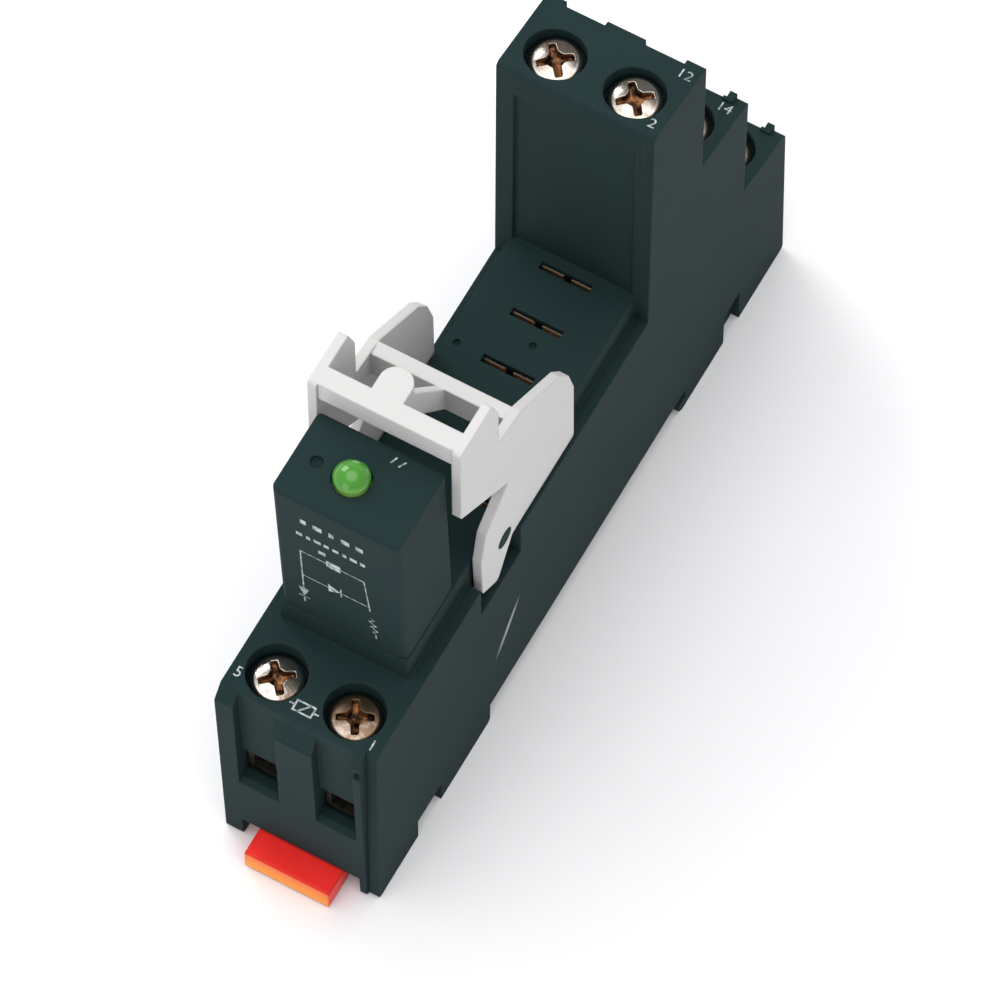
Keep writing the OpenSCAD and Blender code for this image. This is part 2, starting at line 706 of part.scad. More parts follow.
// Runs from a tier's clamping plates down and across to the slot row that it serves.
contact_level = [leaf_foot - upper_run, leaf_foot - middle_run, recess_h + lower_run];
function contact_run(n) =
    let (t = TERMINALS[n + 1], pz = plate_z(t) - strip_t / 2)
    [[t[0] + cage_l / 2 - 0.3, pz], [leg_y(t), pz], [leg_y(t), contact_level[n]],
        [row_y[n], contact_level[n]], [row_y[n], leaf_foot - strip_t / 2]];

coil_level = recess_h + coil_rise;
function coil_run() =
    let (t = TERMINALS[0], pz = plate_z(t) - strip_t / 2)
    [[t[0] - cage_l / 2 + 0.3, pz], [leg_y(t), pz], [leg_y(t), coil_level], [coil_y, coil_level],
        [coil_y, leaf_foot - strip_t / 2]];
module_leaf_foot = leaf_foot - 0.6;
function module_branch() = [[module_leaf_y, coil_level], [module_leaf_y, module_leaf_foot - strip_t / 2]];

// A pair of leaves on a foot, split in two along the blade's width where split is set.
module leaf_pair(x, y, wide, gap, split, foot) {
    translate([x, y, foot]) difference() {
        union() {
            for (hand = [-1, 1]) translate([-wide / 2, hand > 0 ? gap / 2 : -gap / 2 - leaf_t, -strip_t])
                cube([wide, leaf_t, leaf_h + strip_t]);
            translate([-wide / 2, -gap / 2 - leaf_t, -strip_t]) cube([wide, gap + 2 * leaf_t, strip_t]);
        }
        if (split > 0) translate([-split / 2, -gap, strip_t]) cube([split, 2 * gap, leaf_h + 1]);
    }
}

module contact_strip(n) {
    run_points = contact_run(n);
    half = screw_x + strip_w / 2;
    t = TERMINALS[n + 1];
    split_x = screw_x - strip_w / 2;
    riser_foot = contact_level[n] + strip_t / 2;
    riser_l = leaf_foot + strip_t - riser_foot;
    color(brass) from_middle() {
        difference() {
            across(-half, half) ribbon(run_points, strip_t);
            translate([-split_x, t[0] - cage_l, plate_z(t) - chamber_foot - 0.3])
                cube([2 * split_x, 2 * cage_l, chamber_foot + chamber_top + 1]);
            for (side = [-1, 1])
                translate([side * (slot_l / 2 + half) / 2, row_y[n], riser_foot + riser_l / 2])
                    cube([half - slot_l / 2 + eps, 2 * strip_t, riser_l], center = true);
        }
        leaf_pair(0, row_y[n], slot_l, leaf_gap, leaf_split, leaf_foot);
    }
}

module coil_strip(side) {
    x = side * screw_x;
    color(brass) from_middle() {
        across(x - strip_w / 2, x + strip_w / 2) {
            ribbon(coil_run(), strip_t);
            ribbon(module_branch(), strip_t);
        }
        leaf_pair(x, coil_y, strip_w, leaf_gap, 0, leaf_foot);
        leaf_pair(x, module_leaf_y, strip_w, module_leaf_gap, 0, module_leaf_foot);
    }
}

// ---- Terminal screws and cages ----

// The head and shank in one turned profile, with a cross recess cut into the head.
module terminal_screw(n, side) {
    t = TERMINALS[n];
    head_r = head_d / 2;
    shank_end = head_sink - plate_drop + 0.1;
    color(steel) from_middle() translate([side * screw_x, t[0], t[1] - head_sink]) difference() {
        rotate_extrude() polygon([[0, 0], [head_r - head_bevel, 0], [head_r, -head_bevel],
            [head_r, seat - head_t], [shank_d / 2, seat - head_t], [shank_d / 2, shank_end + head_bevel],
            [shank_d / 2 - head_bevel, shank_end], [0, shank_end]]);
        for (q = [0, 90]) rotate(q + cross_turn)
            cube([head_d * cross_reach, cross_w, 2 * cross_depth], center = true);
    }
}

module wire_cage(n, side) {
    t = TERMINALS[n];
    window_top = plate_z(t) + seat;
    color(steel) from_middle() translate([side * screw_x, t[0], window_top]) difference() {
        translate([-cage_w / 2, -cage_l / 2, -window_h - cage_wall])
            cube([cage_w, cage_l, window_h + cage_wall + cage_top]);
        translate([-cage_w / 2 + cage_wall, -cage_l, -window_h])
            cube([cage_w - 2 * cage_wall, 2 * cage_l, window_h]);
        translate([0, 0, -cage_travel - 2 * seat])
            cylinder(d = shank_d + 2 * run, h = cage_travel + 2 * cage_top);
    }
}

housing();
side_cover();
rail_latch();
latch_spring();
retaining_clip();
module_case();
module_base();
module_board();
module_lamp();
module_blade(-1);  // module_blade_left
module_blade(1);  // module_blade_right
coil_strip(-1);  // coil_strip_left
coil_strip(1);  // coil_strip_right
contact_strip(0);  // contact_strip_upper
contact_strip(1);  // contact_strip_middle
contact_strip(2);  // contact_strip_lower
terminal_screw(0, -1);  // screw_coil_left
terminal_screw(0, 1);  // screw_coil_right
terminal_screw(1, -1);  // screw_upper_left
terminal_screw(1, 1);  // screw_upper_right
terminal_screw(2, -1);  // screw_middle_left
terminal_screw(2, 1);  // screw_middle_right
terminal_screw(3, -1);  // screw_lower_left
terminal_screw(3, 1);  // screw_lower_right
wire_cage(0, -1);  // cage_coil_left
wire_cage(0, 1);  // cage_coil_right
wire_cage(1, -1);  // cage_upper_left
wire_cage(1, 1);  // cage_upper_right
wire_cage(2, -1);  // cage_middle_left
wire_cage(2, 1);  // cage_middle_right
wire_cage(3, -1);  // cage_lower_left
wire_cage(3, 1);  // cage_lower_right
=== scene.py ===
"""A relay socket for a 35 mm rail: black moulded body, lamp module, white clip and orange rail latch."""

import bpy
import numpy as np
from mathutils import Matrix, Vector


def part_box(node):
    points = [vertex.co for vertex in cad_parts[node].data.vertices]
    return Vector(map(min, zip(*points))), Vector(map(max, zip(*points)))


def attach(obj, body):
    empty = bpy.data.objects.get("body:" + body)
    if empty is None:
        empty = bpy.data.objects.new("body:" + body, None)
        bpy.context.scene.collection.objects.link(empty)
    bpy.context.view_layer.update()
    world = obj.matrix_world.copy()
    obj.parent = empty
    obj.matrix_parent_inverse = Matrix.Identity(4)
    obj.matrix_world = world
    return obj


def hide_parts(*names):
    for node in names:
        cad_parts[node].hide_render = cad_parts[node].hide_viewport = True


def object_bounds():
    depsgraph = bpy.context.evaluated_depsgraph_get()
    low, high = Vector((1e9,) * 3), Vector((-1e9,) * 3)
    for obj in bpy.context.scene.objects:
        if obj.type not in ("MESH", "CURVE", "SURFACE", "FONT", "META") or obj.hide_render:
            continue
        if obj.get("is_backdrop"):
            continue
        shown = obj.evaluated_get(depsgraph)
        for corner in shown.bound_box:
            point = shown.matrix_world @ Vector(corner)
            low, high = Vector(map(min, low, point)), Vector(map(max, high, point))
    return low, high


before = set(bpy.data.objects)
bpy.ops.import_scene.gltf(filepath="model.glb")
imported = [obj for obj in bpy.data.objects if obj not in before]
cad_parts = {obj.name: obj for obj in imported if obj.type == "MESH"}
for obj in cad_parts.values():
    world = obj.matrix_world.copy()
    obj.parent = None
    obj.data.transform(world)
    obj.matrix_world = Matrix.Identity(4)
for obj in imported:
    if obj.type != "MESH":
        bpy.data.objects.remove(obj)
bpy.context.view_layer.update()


# ---- Table, tent and lamps ----
# The socket stands on a pale matt table inside a white tent, whose roof is bright and whose walls are grey.
# Three soft lamps, from the left, the near side and above, add the gentle shade and the table's shadow.
# Sizes and places are in millimetres from the frame's origin, and MM turns them to metres.

MM = 0.001
TABLE_HALF = 3000


def linear(colour):
    """sRGB hex colour to linear red, green, blue and alpha.

    Each share c becomes ((c + 0.055) / 1.055) ^ 2.4 above 0.04045, and c / 12.92 below.
    """
    c = np.array([int(colour[k:k + 2], 16) for k in (1, 3, 5)]) / 255
    c = np.where(c > 0.04045, ((c + 0.055) / 1.055) ** 2.4, c / 12.92)
    return (*c.tolist(), 1.0)


def new_material(name):
    """An empty material, with its node tree and its output node."""
    material = bpy.data.materials.new(name)
    material.use_nodes = True
    material.node_tree.nodes.clear()
    return material, material.node_tree, material.node_tree.nodes.new("ShaderNodeOutputMaterial")


def add(tree, kind, settings=None, links=None):
    """Adds a node. Settings go to its properties or, by name or number, to its sockets; links feed its sockets."""
    made = tree.nodes.new(kind)
    for key, value in (settings or {}).items():
        if isinstance(key, str) and key in made.bl_rna.properties:
            setattr(made, key, value)
        else:
            made.inputs[key].default_value = value
    for key, source in (links or {}).items():
        tree.links.new(source, made.inputs[key])
    return made


def scale_for(size):
    """Texture scale, in cells to the metre, for a pattern whose marks are this many millimetres across."""
    return 1 / (size * MM)


def add_piece(name, points, faces, material, smooth=True):
    """A mesh object at the origin, from points in millimetres from the frame's origin."""
    mesh = bpy.data.meshes.new(name)
    mesh.from_pydata((np.asarray(points, float) * MM).tolist(), [], faces)
    mesh.polygons.foreach_set("use_smooth", np.full(len(mesh.polygons), smooth))
    mesh.materials.append(material)
    mesh.update()
    piece = bpy.data.objects.new(name, mesh)
    bpy.context.scene.collection.objects.link(piece)
    return piece


def add_lamp(name, place, size, power, mirrored=True):
    """A square soft lamp that faces the origin, its place and size in millimetres; gloss may or may not show it."""
    light = bpy.data.lights.new(name, "AREA")
    light.size, light.energy = size * MM, power
    lamp = bpy.data.objects.new(name, light)
    bpy.context.scene.collection.objects.link(lamp)
    lamp.location = Vector(place) * MM
    lamp.rotation_euler = (-lamp.location).to_track_quat("-Z", "Y").to_euler()
    lamp.visible_glossy = mirrored


# Matt laminate: nearly white, no gloss, with a cloud so faint that it only breaks up the flat tone.
LAMINATE_CLOUD = 70
pale, tree, out = new_material("matt white laminate")
cloud = add(tree, "ShaderNodeTexNoise", {"Scale": scale_for(LAMINATE_CLOUD)},
            {"Vector": add(tree, "ShaderNodeTexCoord").outputs["Object"]})
tone = add(tree, "ShaderNodeMix", {"data_type": "RGBA", "A": linear("#f3f3f5"), "B": linear("#f7f7f8")},
           {"Factor": cloud.outputs["Fac"]})
shade = add(tree, "ShaderNodeBsdfPrincipled", {"Roughness": 0.9, "Specular IOR Level": 0.1},
            {"Base Color": tone.outputs["Result"]})
tree.links.new(shade.outputs[0], out.inputs["Surface"])
corners = np.array([[-1, -1], [1, -1], [1, 1], [-1, 1]]) * TABLE_HALF
table = add_piece("table", np.column_stack([corners, np.zeros(4)]), [[0, 1, 2, 3]], pale, smooth=False)
table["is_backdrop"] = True

# What the camera sees past the table is plain white. Surfaces are lit by a roof that is brighter than the walls,
# and gloss shows grey walls and one bright panel high up. Heights run from 0 at the horizon to 1 overhead.
LIT_BY_WALL, LIT_BY_ROOF = 0.34, 1.3
WALL_IN_GLOSS, ABOVE_WALL_IN_GLOSS, PANEL_IN_GLOSS = 0.5, 0.1, 1.5
WALL_HEIGHT, ROOF_HEIGHT = 0.5, 0.9
PANEL_EDGE, PANEL_FULL = 0.82, 0.92
tent = bpy.data.worlds.new("white tent")
bpy.context.scene.world = tent
tent.use_nodes = True
tree = tent.node_tree
tree.nodes.clear()
path = add(tree, "ShaderNodeLightPath")
seen = add(tree, "ShaderNodeMath", {"operation": "MAXIMUM"},
           {0: path.outputs["Is Camera Ray"], 1: path.outputs["Is Transmission Ray"]})
height = add(tree, "ShaderNodeSeparateXYZ", {},
             {0: add(tree, "ShaderNodeTexCoord").outputs["Generated"]}).outputs["Z"]
roof = add(tree, "ShaderNodeMapRange",
           {"From Min": 0.0, "From Max": ROOF_HEIGHT, "To Min": LIT_BY_WALL, "To Max": LIT_BY_ROOF},
           {"Value": height})
walls = add(tree, "ShaderNodeMapRange",
            {"From Min": 0.0, "From Max": WALL_HEIGHT, "To Min": WALL_IN_GLOSS, "To Max": ABOVE_WALL_IN_GLOSS},
            {"Value": height})
panel = add(tree, "ShaderNodeMapRange",
            {"From Min": PANEL_EDGE, "From Max": PANEL_FULL, "To Min": 0.0, "To Max": PANEL_IN_GLOSS},
            {"Value": height})
shown = add(tree, "ShaderNodeMath", {"operation": "ADD"}, {0: walls.outputs[0], 1: panel.outputs[0]})
soft = add(tree, "ShaderNodeMix", {},
           {"Factor": path.outputs["Is Glossy Ray"], "A": roof.outputs[0], "B": shown.outputs[0]})
strength = add(tree, "ShaderNodeMix", {"B": 1.0}, {"Factor": seen.outputs[0], "A": soft.outputs["Result"]})
sky = add(tree, "ShaderNodeBackground", {"Color": linear("#ffffff")}, {"Strength": strength.outputs["Result"]})
tree.links.new(sky.outputs[0], add(tree, "ShaderNodeOutputWorld").inputs["Surface"])

add_lamp("soft box left", place=(-380, 160, 320), size=240, power=0.7)
add_lamp("soft box near", place=(-60, -520, 260), size=300, power=0.35)
add_lamp("soft box above", place=(-40, -80, 520), size=300, power=0.5, mirrored=False)


# ---- Camera ----
# A long lens looks steeply down on the near terminals from the side cover's side.
# It stands so far back that a millimetre at the aim takes SCALE thousandths of the frame's width.

AIM = np.array([0.0, 0.63, 19.62])
AZIMUTH, ELEVATION, ROLL = np.radians([28.6, 62.5, 0.49])
LENS, SENSOR = 360.0, 36.0
SCALE = 11.246
FRAME_WIDTH = 1000
SHIFT_ACROSS, SHIFT_UP = -0.0057, -0.0624
CLIP_START, CLIP_END = 0.01, 20
ahead = np.array([-np.sin(AZIMUTH) * np.cos(ELEVATION), np.cos(AZIMUTH) * np.cos(ELEVATION), -np.sin(ELEVATION)])
level = np.array([np.cos(AZIMUTH), np.sin(AZIMUTH), 0])
upward = np.cross(level, ahead)
right = np.cos(ROLL) * level + np.sin(ROLL) * upward
up = np.cos(ROLL) * upward - np.sin(ROLL) * level
distance = FRAME_WIDTH * LENS / SENSOR / SCALE

camera = bpy.data.objects.new("camera", bpy.data.cameras.new("camera"))
bpy.context.scene.collection.objects.link(camera)
turned = Matrix(np.column_stack([right, up, -ahead]).tolist()).to_4x4()
camera.matrix_world = Matrix.Translation(Vector((AIM - ahead * distance) * MM)) @ turned
camera.data.lens, camera.data.sensor_width = LENS, SENSOR
camera.data.shift_x, camera.data.shift_y = SHIFT_ACROSS, SHIFT_UP
camera.data.clip_start, camera.data.clip_end = CLIP_START, CLIP_END
bpy.context.scene.camera = camera


# ---- Housing and side cover ----
# The body is a deep box, moulded from the side in glass-filled polyamide and closed by a cover on four pegs.
# The mould is spark-eroded, so that each face has a fine matt grain, and handling rubs the corners paler.
# Real grain of this kind is about 0.05 mm across and would not show, so it is drawn at 0.22 mm.

GRAIN, GRAIN_DEPTH = 0.22, 0.02
MOULDING_CLOUD = 11
SCUFF = 2.4
CORNER_ROUND = 0.25
LIGHT_REACH = 0.8


def moulded(name, colours, roughness, gloss, grain_depth, glow=0.0, rub=None):
    """Matt moulded plastic, with grain, rubbed corners and, if asked, one scuffed streak.

    Colour: a slow cloud between the first two colours, and the third where a corner turns away from its face.
    Bump: spark-erosion grain of the given depth in millimetres, over corners that are shaded as rounded.
    Roughness: less where the plastic is worn. Glow is the share of light that sinks in and comes back.
    A rub is a streak where the grain is worn smooth: an ellipsoid, given by its middle, its turn about X, its
    half lengths and its colour, that fades outwards.
    """
    material, tree, out = new_material(name)
    place = add(tree, "ShaderNodeTexCoord").outputs["Object"]
    cloud = add(tree, "ShaderNodeTexNoise", {"Scale": scale_for(MOULDING_CLOUD), "Detail": 3.0}, {"Vector": place})
    grain = add(tree, "ShaderNodeTexNoise", {"Scale": scale_for(GRAIN), "Detail": 2.0}, {"Vector": place})
    scuff = add(tree, "ShaderNodeTexNoise", {"Scale": scale_for(SCUFF), "Detail": 6.0, "Roughness": 0.7},
                {"Vector": place})
    low, high, rubbed = (linear(colour) for colour in colours)
    clouded = add(tree, "ShaderNodeMix", {"data_type": "RGBA", "A": low, "B": high},
                  {"Factor": cloud.outputs["Fac"]})
    true_face = add(tree, "ShaderNodeNewGeometry").outputs["Normal"]
    round_face = add(tree, "ShaderNodeBevel", {"samples": 4, "Radius": CORNER_ROUND * MM}).outputs["Normal"]
    cosine = add(tree, "ShaderNodeVectorMath", {"operation": "DOT_PRODUCT"}, {0: true_face, 1: round_face})
    edge = add(tree, "ShaderNodeMapRange", {"From Min": 0.995, "From Max": 0.78, "To Min": 0.0, "To Max": 0.9},
               {"Value": cosine.outputs["Value"]})
    worn = add(tree, "ShaderNodeMath", {"operation": "MULTIPLY"}, {0: edge.outputs[0], 1: scuff.outputs["Fac"]})
    tint = add(tree, "ShaderNodeMix", {"data_type": "RGBA", "B": rubbed},
               {"Factor": worn.outputs[0], "A": clouded.outputs["Result"]})
    if rub:
        middle, turn, reach, bare = rub
        along = add(tree, "ShaderNodeMapping",
                    {"vector_type": "TEXTURE", "Location": [c * MM for c in middle],
                     "Rotation": (turn, 0, 0), "Scale": [c * MM for c in reach]}, {"Vector": place})
        streak = add(tree, "ShaderNodeTexGradient", {"gradient_type": "SPHERICAL"}, {"Vector": along.outputs[0]})
        full = add(tree, "ShaderNodeMapRange", {"From Max": 0.6, "To Max": 1.3}, {"Value": streak.outputs["Fac"]})
        broken = add(tree, "ShaderNodeMath", {"operation": "MULTIPLY"},
                     {0: full.outputs[0], 1: scuff.outputs["Fac"]})
        tint = add(tree, "ShaderNodeMix", {"data_type": "RGBA", "B": linear(bare)},
                   {"Factor": broken.outputs[0], "A": tint.outputs["Result"]})
        worn = add(tree, "ShaderNodeMath", {"operation": "MAXIMUM"}, {0: worn.outputs[0], 1: broken.outputs[0]})
    rough = add(tree, "ShaderNodeMapRange", {"To Min": roughness + 0.06, "To Max": roughness - 0.12},
                {"Value": worn.outputs[0]})
    bump = add(tree, "ShaderNodeBump", {"Strength": 0.35, "Distance": grain_depth * MM},
               {"Height": grain.outputs["Fac"], "Normal": round_face})
    shade = add(tree, "ShaderNodeBsdfPrincipled",
                {"IOR": 1.53, "Specular IOR Level": gloss, "Subsurface Weight": glow,
                 "Subsurface Radius": (1.0, 0.7, 0.4), "Subsurface Scale": LIGHT_REACH * MM},
                {"Base Color": tint.outputs["Result"], "Roughness": rough.outputs[0], "Normal": bump.outputs[0]})
    tree.links.new(shade.outputs[0], out.inputs["Surface"])
    return material


def finish_nodes(material, *names):
    """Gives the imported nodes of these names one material."""
    for name in names:
        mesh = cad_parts[name].data
        mesh.materials.clear()
        mesh.materials.append(material)


def corners_of(name):
    """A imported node's lowest and highest corners, in millimetres."""
    return [np.array(corner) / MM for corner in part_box(name)]


# Black polyamide: a faintly green black. The grain takes away nearly all gloss, and rubbed corners are greyer.
BLACKS = ("#1a2c2d", "#203435", "#2c3f40")
BLACK_ROUGHNESS, BLACK_GLOSS = 0.75, 0.15
black_polyamide = moulded("moulded black polyamide", BLACKS, BLACK_ROUGHNESS, BLACK_GLOSS, GRAIN_DEPTH)
finish_nodes(black_polyamide, "housing")

# The cover is of the same plastic, with one pale scratch where something slid down its outer face.
cover_face = corners_of("side_cover")[1][0]
scratch = ((cover_face, -12.9, 13.0), np.radians(52), (0.5, 3.7, 0.5), "#b9c2c1")
scuffed_polyamide = moulded("scuffed black polyamide", BLACKS, BLACK_ROUGHNESS, BLACK_GLOSS, GRAIN_DEPTH,
                            rub=scratch)
finish_nodes(scuffed_polyamide, "side_cover")


# ---- Printed numbers and coil sign ----
# Plain terminal numbers and a coil sign are pad-printed in white beside the screws.
# Each mark is a thin film of ink that lies on the grain, so that specks of black show through.

# SHOULDER is the height of the flat top beside the coil screws, and NEAR_Y is the edge where the near face
# meets it. Distances along the socket are counted from that edge.
INK_LIFT, INK_SPECK = 0.03, 0.4
NUMBER_SIZE, SIGN_PEN = 1.5, 0.17
SHOULDER = 28.8
NEAR_Y = -36.65
X_WAY, Y_WAY = (1, 0, 0), (0, 1, 0)

# Pad-printing ink: a soft white without gloss, greyer in specks where the film is thin.
white_ink, tree, out = new_material("pad-printed white ink")
place = add(tree, "ShaderNodeTexCoord").outputs["Object"]
speckle = add(tree, "ShaderNodeTexNoise", {"Scale": scale_for(INK_SPECK), "Detail": 3.0}, {"Vector": place})
thin = add(tree, "ShaderNodeMapRange", {"From Min": 0.35, "From Max": 0.6}, {"Value": speckle.outputs["Fac"]})
ink = add(tree, "ShaderNodeMix", {"data_type": "RGBA", "A": linear("#5f6c6d"), "B": linear("#bfc7c8")},
          {"Factor": thin.outputs[0]})
shade = add(tree, "ShaderNodeBsdfPrincipled", {"Roughness": 0.6}, {"Base Color": ink.outputs["Result"]})
tree.links.new(shade.outputs[0], out.inputs["Surface"])


def on_plane(flat, origin, across, along):
    """Points of a flat drawing on a plane: origin + u * across + v * along + ink lift * (across x along)."""
    across, along = np.array(across, float), np.array(along, float)
    return np.array(origin) + flat[:, :1] * across + flat[:, 1:2] * along + INK_LIFT * np.cross(across, along)


def print_number(name, words, origin, across, along):
    """Prints a plain number with its middle at a point of a plane: its outline is drawn flat, then placed."""
    curve = bpy.data.curves.new(name, "FONT")
    curve.body, curve.size = words, NUMBER_SIZE
    curve.align_x, curve.align_y = "CENTER", "CENTER"
    curve.resolution_u = 3
    drawn = bpy.data.objects.new(name + "_drawn", curve)
    bpy.context.scene.collection.objects.link(drawn)
    bpy.context.view_layer.update()
    mesh = bpy.data.meshes.new_from_object(drawn)
    bpy.data.objects.remove(drawn)
    flat = np.zeros(len(mesh.vertices) * 3)
    mesh.vertices.foreach_get("co", flat)
    mesh.vertices.foreach_set("co", (on_plane(flat.reshape(-1, 3), origin, across, along) * MM).ravel())
    mesh.materials.clear()
    mesh.materials.append(white_ink)
    mesh.update()
    piece = bpy.data.objects.new(name, mesh)
    bpy.context.scene.collection.objects.link(piece)
    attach(piece, "base")


def pen_line(line, width):
    """A flat strip along a line of points: each point moves half the width to both sides, more at a bend."""
    p = np.array(line, float)
    step = np.diff(p, axis=0)
    step /= np.linalg.norm(step, axis=1)[:, None]
    ways = np.vstack([step[:1], step[:-1] + step[1:], step[-1:]])
    ways /= np.linalg.norm(ways, axis=1)[:, None]
    sides = np.column_stack([-ways[:, 1], ways[:, 0]])
    spread = width / 2 / np.clip(np.sum(ways * np.vstack([step[:1], step]), axis=1), 0.4, 1)
    flat = np.concatenate([p - sides * spread[:, None], p + sides * spread[:, None]])
    count = len(p)
    return flat, [[k, k + 1, k + 1 + count, k + count] for k in range(count - 1)]


def print_lines(name, lines, width, origin, across, along, body):
    """Several pen lines as one film of ink; where the width is 0, each line is a filled outline."""
    points, faces = np.zeros((0, 2)), []
    for line in lines:
        flat, quads = pen_line(line, width) if width else (np.array(line, float), [list(range(len(line)))])
        faces += [[len(points) + k for k in quad] for quad in quads]
        points = np.vstack([points, flat])
    piece = add_piece(name, on_plane(points, origin, across, along), faces, white_ink, smooth=False)
    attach(piece, body)


def tier_plane(front, rear, top, bottom):
    """A tier's sloping top: its height at a distance from the near face, and its direction.

    Height = top + (bottom - top) * (y - front) / (rear - front).
    """
    way = np.array([0, rear - front, bottom - top])
    return lambda y: top + (bottom - top) * (y - front) / (rear - front), way / np.linalg.norm(way)


# The coil's numbers lie on the flat shoulder, and the contacts' numbers on the tower's two upper tiers.
upper_top, upper_way = tier_plane(front=49.2, rear=58.6, top=62.0, bottom=60.1)
middle_top, middle_way = tier_plane(front=58.6, rear=67.2, top=42.6, bottom=40.7)
print_number("number_5", "5", (-6.85, NEAR_Y + 1.7, SHOULDER), X_WAY, Y_WAY)
print_number("number_1", "1", (6.8, NEAR_Y + 1.15, SHOULDER), X_WAY, Y_WAY)
print_number("number_2", "2", (6.75, NEAR_Y + 50.6, upper_top(50.6)), X_WAY, upper_way)
print_number("number_12", "12", (6.6, NEAR_Y + 56.8, upper_top(56.8)), X_WAY, upper_way)
print_number("number_14", "14", (6.3, NEAR_Y + 65.4, middle_top(65.4)), X_WAY, middle_way)

# A coil is drawn as a box with a slanting bar through it and a wire at each end.
coil_sign = [[(-1.45, 0), (-0.9, 0)], [(-0.9, 0.5), (-0.9, -0.5), (0.9, -0.5), (0.9, 0.5), (-0.98, 0.5)],
             [(-0.45, -0.5), (0.45, 0.5)], [(0.9, 0), (1.45, 0)]]
print_lines("coil_sign", coil_sign, SIGN_PEN, (-0.1, NEAR_Y + 1.4, SHOULDER), X_WAY, Y_WAY,
            "base")


# ---- Lamp module ----
# A plug-in case of the same black polyamide holds a small board, two blades and the green lamp.
# It leans forward a little; its front carries rows of plain bars and a general sketch of a lamp circuit.

PLATFORM = 32.2
CASE_HEIGHT, CASE_LEAN = 23.0, 1.2
LEAN = np.array([0, -CASE_LEAN, CASE_HEIGHT]) / np.hypot(CASE_LEAN, CASE_HEIGHT)
BAR_PEN, SMALL_BAR_PEN, WIRE_PEN, TICK_PEN = 0.85, 0.6, 0.14, 0.16
finish_nodes(black_polyamide, "module_case", "module_base")

# The front's marks are placed by x from its middle and by the way up its slope from the platform.
front_foot = (0, NEAR_Y + 8.3, PLATFORM)
bars = [[(x - w, 19.2), (x + w, 19.2)] for x, w in zip(np.linspace(-3.2, 2.3, 5), (0.3, 0.45, 0.25, 0.4, 0.35))]
small_bars = [[(x - w, 16.35), (x + w, 16.35)]
              for x, w in zip(np.linspace(-3.7, 2.5, 8), [0.3, 0.2, 0.35, 0.25] * 2)]
small_bars.append([(-1.9, 14.5), (-1.2, 14.5)])
wires = [[(-1.2, 12.8), (-3.75, 12.8), (-3.75, 5.0)], [(0.2, 12.8), (2.5, 12.8), (2.9, 7.0)],
         [(-3.75, 7.8), (-1.2, 7.8)], [(0.0, 7.8), (2.7, 7.8)], [(0.05, 7.0), (0.05, 8.6)],
         [(-4.3, 3.2), (-3.2, 3.2)], [(-3.75, 3.2), (-3.75, 2.2)]]
zigzag = [[(2.9, 5.6), (3.25, 5.3), (2.7, 4.8), (3.4, 4.3), (2.8, 3.8), (3.5, 3.3), (3.0, 2.8), (3.3, 2.5),
           (3.3, 1.6)]]
filled = [[(-1.2, 12.2), (0.2, 12.2), (0.2, 13.4), (-1.2, 13.4)], [(-1.2, 7.0), (0.0, 7.8), (-1.2, 8.6)],
          [(-4.3, 5.0), (-3.75, 3.3), (-3.2, 5.0)]]
for name, lines, width in (("module_bars", bars, BAR_PEN), ("module_small_bars", small_bars, SMALL_BAR_PEN),
                           ("module_wires", wires, WIRE_PEN), ("module_zigzag", zigzag, WIRE_PEN),
                           ("module_signs", filled, 0)):
    print_lines(name, lines, width, front_foot, X_WAY, LEAN, "module")

# Two short ticks stand beside the lamp, on the case's flat top.
lamp_row = (0, NEAR_Y + 14.5, PLATFORM + CASE_HEIGHT)
ticks = [[(1.5, -0.35), (1.8, 0.35)], [(2.3, -0.4), (2.7, 0.3)]]
print_lines("module_ticks", ticks, TICK_PEN, lamp_row, X_WAY, Y_WAY, "module")

# Tinted clear acrylic, with painted light: a pale painted glow in the dome, its middle set towards the near right,
# and a rim painted darker in shade.
GLOW_MIDDLE_OFFSET = (0.5, -0.7, 0.6)
GLOW_MIDDLE_HALF, TINT_FULL = 0.5, 2.2
lens, tree, out = new_material("tinted green acrylic")
lamp_low, lamp_high = corners_of("module_lamp")
# The middle of the painted glow, set off from the dome's middle; the colour darkens out to TINT_FULL.
painted_glow_middle = (((lamp_low + lamp_high) / 2 + GLOW_MIDDLE_OFFSET) * MM).tolist()
place = add(tree, "ShaderNodeTexCoord").outputs["Object"]
away = add(tree, "ShaderNodeVectorMath", {"operation": "DISTANCE", 1: painted_glow_middle}, {0: place})
outer = add(tree, "ShaderNodeMapRange", {"From Min": GLOW_MIDDLE_HALF * MM, "From Max": TINT_FULL * MM},
            {"Value": away.outputs["Value"]})
tone = add(tree, "ShaderNodeMix", {"data_type": "RGBA", "A": linear("#bdf07a"), "B": linear("#4c8f36")},
           {"Factor": outer.outputs[0]})
shade = add(tree, "ShaderNodeBsdfPrincipled",
            {"Roughness": 0.1, "IOR": 1.49, "Coat Weight": 0.5, "Coat Roughness": 0.05},
            {"Base Color": tone.outputs["Result"]})
tree.links.new(shade.outputs[0], out.inputs["Surface"])
finish_nodes(lens, "module_lamp")

